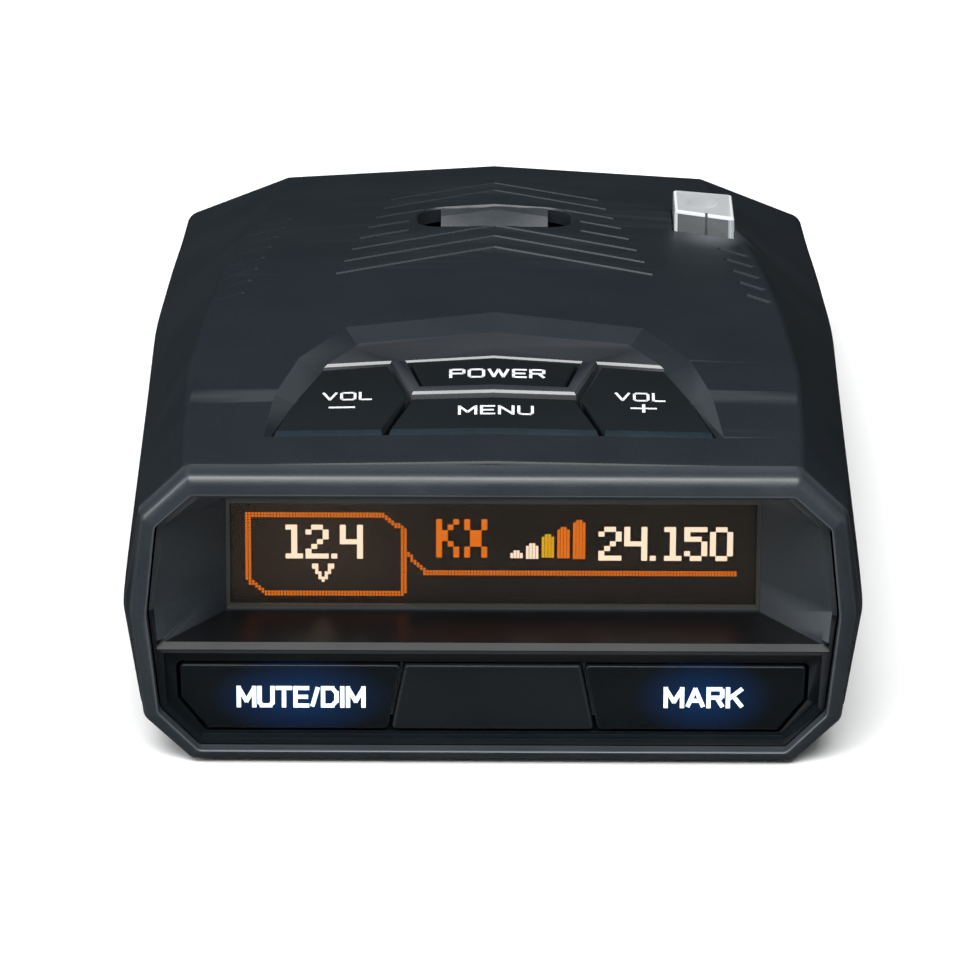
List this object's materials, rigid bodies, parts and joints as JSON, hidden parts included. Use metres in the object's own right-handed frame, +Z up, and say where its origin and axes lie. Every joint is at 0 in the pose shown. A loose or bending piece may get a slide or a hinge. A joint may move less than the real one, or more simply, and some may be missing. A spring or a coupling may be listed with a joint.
{
  "type": "radar and laser detector",
  "caption": "Windscreen-mounted radar and laser detector with a hooded display, front and top push keys, bracket slot and clear laser lens.",
  "frame": {"origin": "centre of the bounding box on the underside plane", "axes": "+Y from the display end towards the rear antenna end, +Z up, +X to the right as seen facing the display"},
  "size_m": [0.0756, 0.108, 0.0338],
  "materials": {
    "shell_plastic": "fine matte soft-touch texture",
    "hood_plastic": "satin moulded",
    "frame_plastic": "satin",
    "frame_gloss": "polished dark grey",
    "key_plastic": "polished black",
    "lit_key_plastic": "polished black with lit label",
    "display_glass": "tinted clear",
    "oled_glass": "dark glass panel",
    "clear_lens": "polished clear",
    "red_filter": "dark red infrared filter",
    "silicone": "matte silicone",
    "foam_black": "closed-cell foam",
    "circuit_board": "solder-masked laminate",
    "polyimide_flex": "amber film",
    "black_component": "moulded",
    "led_lens": "moulded",
    "cast_metal": "die cast",
    "tin_plate": "tin plated",
    "antenna_ceramic": "unglazed with silvered patch",
    "wire_red": "insulated",
    "screw_steel": "black zinc",
    "spring_steel": "bright rolled",
    "label_film": "blank satin film"
  },
  "bodies": {
    "housing": {"top_cover": "shell_plastic", "bottom_cover": "shell_plastic", "front_bezel": "shell_plastic", "display_hood": "hood_plastic", "display_frame": "frame_plastic", "display_window": "display_glass", "display_gasket": "foam_black", "oled_panel": "oled_glass", "display_flex": "polyimide_flex", "centre_panel": "key_plastic", "light_sensor": "black_component", "front_keypad": "silicone", "front_key_board": "circuit_board", "front_leds": "led_lens", "top_key_frame": "frame_gloss", "top_keypad": "silicone", "top_key_board": "circuit_board", "board_link": "polyimide_flex", "main_board": "circuit_board", "horn_antenna": "cast_metal", "oscillator_board": "circuit_board", "rf_shield": "tin_plate", "gps_antenna": "antenna_ceramic", "speaker": "black_component", "speaker_wires": "wire_red", "power_jack": "black_component", "audio_jack": "black_component", "usb_port": "tin_plate", "laser_lens": "clear_lens", "laser_sensor": "black_component", "road_window": "red_filter", "road_laser_sensor": "black_component", "case_screws": "screw_steel", "board_screws": "screw_steel", "mount_pocket": "hood_plastic", "bracket_clip": "spring_steel", "rating_label": "label_film"},
    "mute_key": {"mute_button": "lit_key_plastic"},
    "mark_key": {"mark_button": "lit_key_plastic"},
    "power_key": {"power_button": "key_plastic"},
    "menu_key": {"menu_button": "key_plastic"},
    "volume_down_key": {"volume_down_button": "key_plastic"},
    "volume_up_key": {"volume_up_button": "key_plastic"}
  },
  "joints": [
    {"name": "mute_press", "type": "slide", "parent": "housing", "child": "mute_key", "axis": [0, 1, 0], "range_m": [0, 0.0005], "stiffness_N_per_m": 3000},
    {"name": "mark_press", "type": "slide", "parent": "housing", "child": "mark_key", "axis": [0, 1, 0], "range_m": [0, 0.0005], "stiffness_N_per_m": 3000},
    {"name": "power_press", "type": "slide", "parent": "housing", "child": "power_key", "axis": [0, 0, -1], "range_m": [0, 0.0006], "stiffness_N_per_m": 3000},
    {"name": "menu_press", "type": "slide", "parent": "housing", "child": "menu_key", "axis": [0, 0, -1], "range_m": [0, 0.0006], "stiffness_N_per_m": 3000},
    {"name": "volume_down_press", "type": "slide", "parent": "housing", "child": "volume_down_key", "axis": [0, 0, -1], "range_m": [0, 0.0006], "stiffness_N_per_m": 3000},
    {"name": "volume_up_press", "type": "slide", "parent": "housing", "child": "volume_up_key", "axis": [0, 0, -1], "range_m": [0, 0.0006], "stiffness_N_per_m": 3000}
  ]
}
